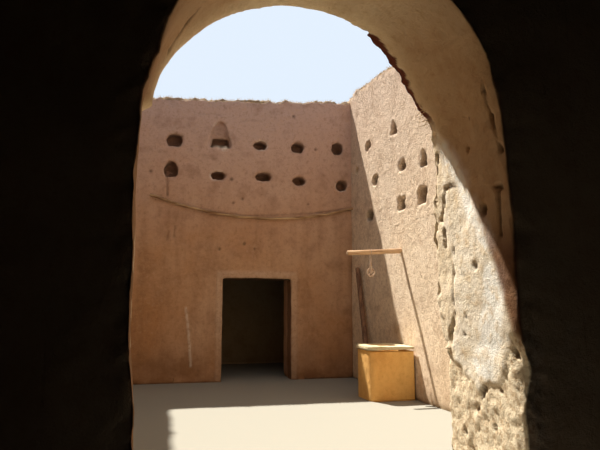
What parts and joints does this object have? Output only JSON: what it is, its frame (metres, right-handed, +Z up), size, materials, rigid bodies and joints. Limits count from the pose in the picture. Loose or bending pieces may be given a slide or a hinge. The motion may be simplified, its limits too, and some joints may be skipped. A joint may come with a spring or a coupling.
{
  "type": "adobe courtyard house",
  "caption": "Adobe courtyard house with an arched way from a roofed front room, a back doorway, nest holes in the high walls and a well with a pulley beam",
  "frame": {"origin": "bottom centre of the house's bounding box, on the ground", "axes": "+Z up, +Y from the front room through the court to the back room, +X towards the wall with the well"},
  "size_m": [6.88, 17.7, 6.09],
  "materials": {
    "adobe": "rough",
    "plaster": "rough",
    "old_wood": "rough",
    "cane": "rough",
    "iron": "rough"
  },
  "bodies": {
    "house": {"front_wall_left": "adobe", "front_wall_right": "adobe", "front_wall_upper": "adobe", "entrance_lintel": "old_wood", "arch_wall_left": "adobe", "arch_wall_right": "adobe", "arch_wall_head": "adobe", "back_wall_left": "adobe", "back_wall_right": "adobe", "back_wall_middle": "adobe", "back_wall_upper": "adobe", "doorway_lintel": "old_wood", "doorway_surround": "plaster", "rear_wall": "adobe", "left_wall_lower": "adobe", "left_wall_upper_front": "adobe", "left_wall_upper_back": "adobe", "right_wall_lower": "adobe", "right_wall_upper_front": "adobe", "right_wall_upper_back": "adobe", "front_roof_poles": "old_wood", "front_roof_mat": "cane", "front_roof_earth": "adobe", "back_roof_poles": "old_wood", "back_roof_mat": "cane", "back_roof_earth": "adobe", "well_curb": "adobe", "well_rim": "plaster", "pulley_beam": "old_wood", "pulley_hanger": "iron", "pulley_crown": "iron", "pulley_cheeks": "iron", "pulley_pin": "iron", "bowed_pole": "old_wood", "bowed_pole_peg": "old_wood", "leaning_pole": "old_wood"},
    "wheel": {"pulley_wheel": "iron"}
  },
  "joints": [
    {"name": "wheel_spin", "type": "hinge", "parent": "house", "child": "wheel", "pos_m": [2.1, 2.15, 2.04], "axis": [0, 1, 0], "continuous": true}
  ]
}
